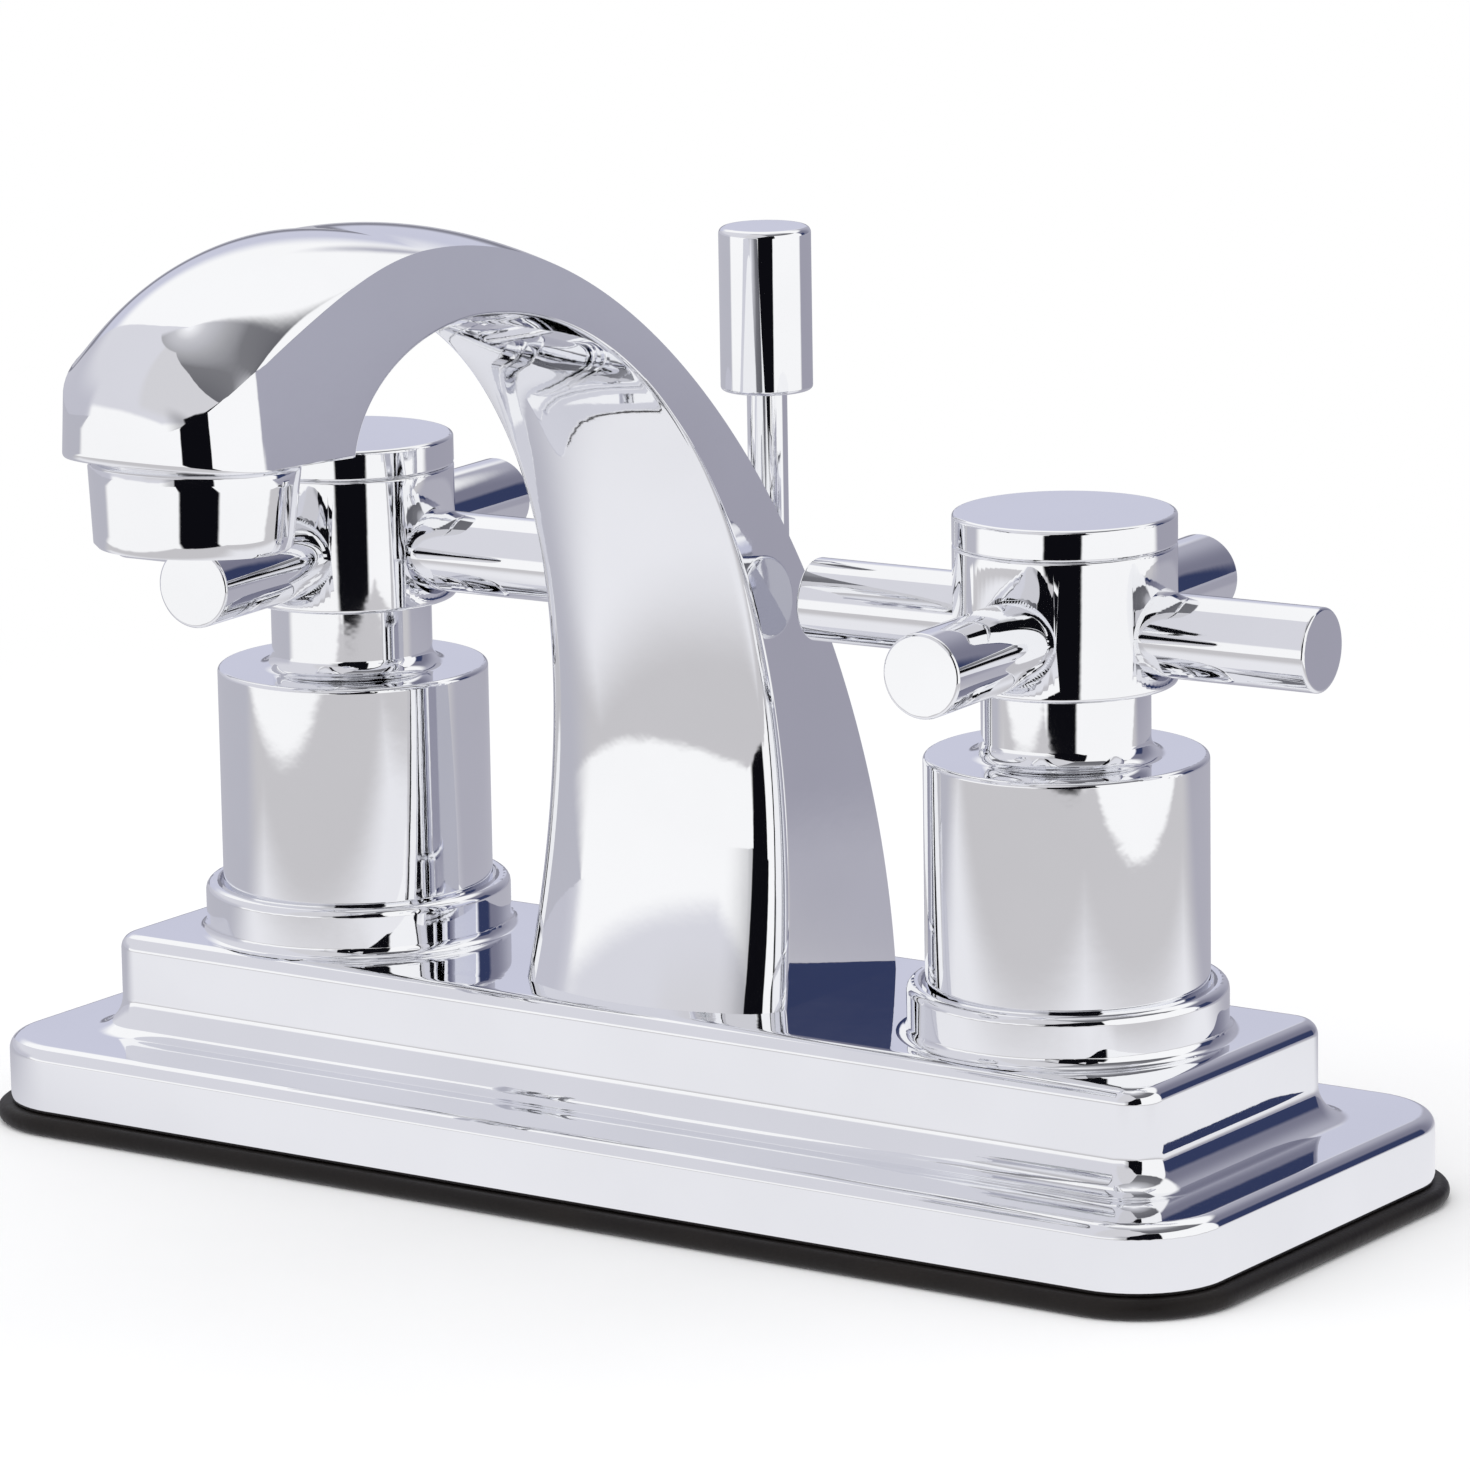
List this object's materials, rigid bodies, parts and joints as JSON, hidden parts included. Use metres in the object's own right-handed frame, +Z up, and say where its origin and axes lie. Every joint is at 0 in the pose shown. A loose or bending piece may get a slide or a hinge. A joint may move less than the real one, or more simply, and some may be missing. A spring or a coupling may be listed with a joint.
{
  "type": "bathroom faucet",
  "caption": "Centerset bathroom faucet: arched spout between cross handles on a stepped deck plate, with a pop-up lift rod behind.",
  "frame": {"origin": "centre of the gasket's underside, on the basin's deck, midway between the handle axes", "axes": "+Z up, +X towards the right handle as seen from the front, -Y the way the spout reaches"},
  "size_m": [0.173, 0.1414, 0.1827],
  "materials": {
    "bright_chrome": "polished",
    "black_rubber": "matt",
    "bare_brass": "as turned",
    "steel": "zinc plated",
    "white_ceramic": "ground flat",
    "pale_plastic": "moulded"
  },
  "bodies": {
    "faucet": {"gasket": "black_rubber", "deck_plate": "bright_chrome", "spout": "bright_chrome", "spout_screws": "steel", "spout_seal": "black_rubber", "aerator_housing": "bright_chrome", "aerator_insert": "pale_plastic", "aerator_washer": "black_rubber", "valve_body": "bare_brass", "left_bell": "bright_chrome", "right_bell": "bright_chrome", "left_cartridge": "bare_brass", "right_cartridge": "bare_brass", "left_fixed_disc": "white_ceramic", "right_fixed_disc": "white_ceramic", "left_seat_seal": "black_rubber", "right_seat_seal": "black_rubber", "left_plate_nut": "bare_brass", "right_plate_nut": "bare_brass", "left_shank_washer": "steel", "right_shank_washer": "steel", "left_shank_nut": "bare_brass", "right_shank_nut": "bare_brass"},
    "left_handle": {"left_hub": "bright_chrome", "left_cap": "bright_chrome", "left_arm_1": "bright_chrome", "left_arm_2": "bright_chrome", "left_arm_3": "bright_chrome", "left_arm_4": "bright_chrome", "left_handle_screw": "steel", "left_stem": "bare_brass", "left_turning_disc": "white_ceramic"},
    "right_handle": {"right_hub": "bright_chrome", "right_cap": "bright_chrome", "right_arm_1": "bright_chrome", "right_arm_2": "bright_chrome", "right_arm_3": "bright_chrome", "right_arm_4": "bright_chrome", "right_handle_screw": "steel", "right_stem": "bare_brass", "right_turning_disc": "white_ceramic"},
    "pop_up_rod": {"lift_rod": "bright_chrome", "lift_knob": "bright_chrome"}
  },
  "joints": [
    {"name": "left_handle_turn", "type": "hinge", "parent": "faucet", "child": "left_handle", "pos_m": [-0.0508, 0, 0.0694], "axis": [0, 0, 1], "range_deg": [0, 90]},
    {"name": "right_handle_turn", "type": "hinge", "parent": "faucet", "child": "right_handle", "pos_m": [0.0508, 0, 0.0694], "axis": [0, 0, -1], "range_deg": [0, 90]},
    {"name": "rod_slide", "type": "slide", "parent": "faucet", "child": "pop_up_rod", "axis": [0, 0, -1], "range_m": [0, 0.026]}
  ]
}
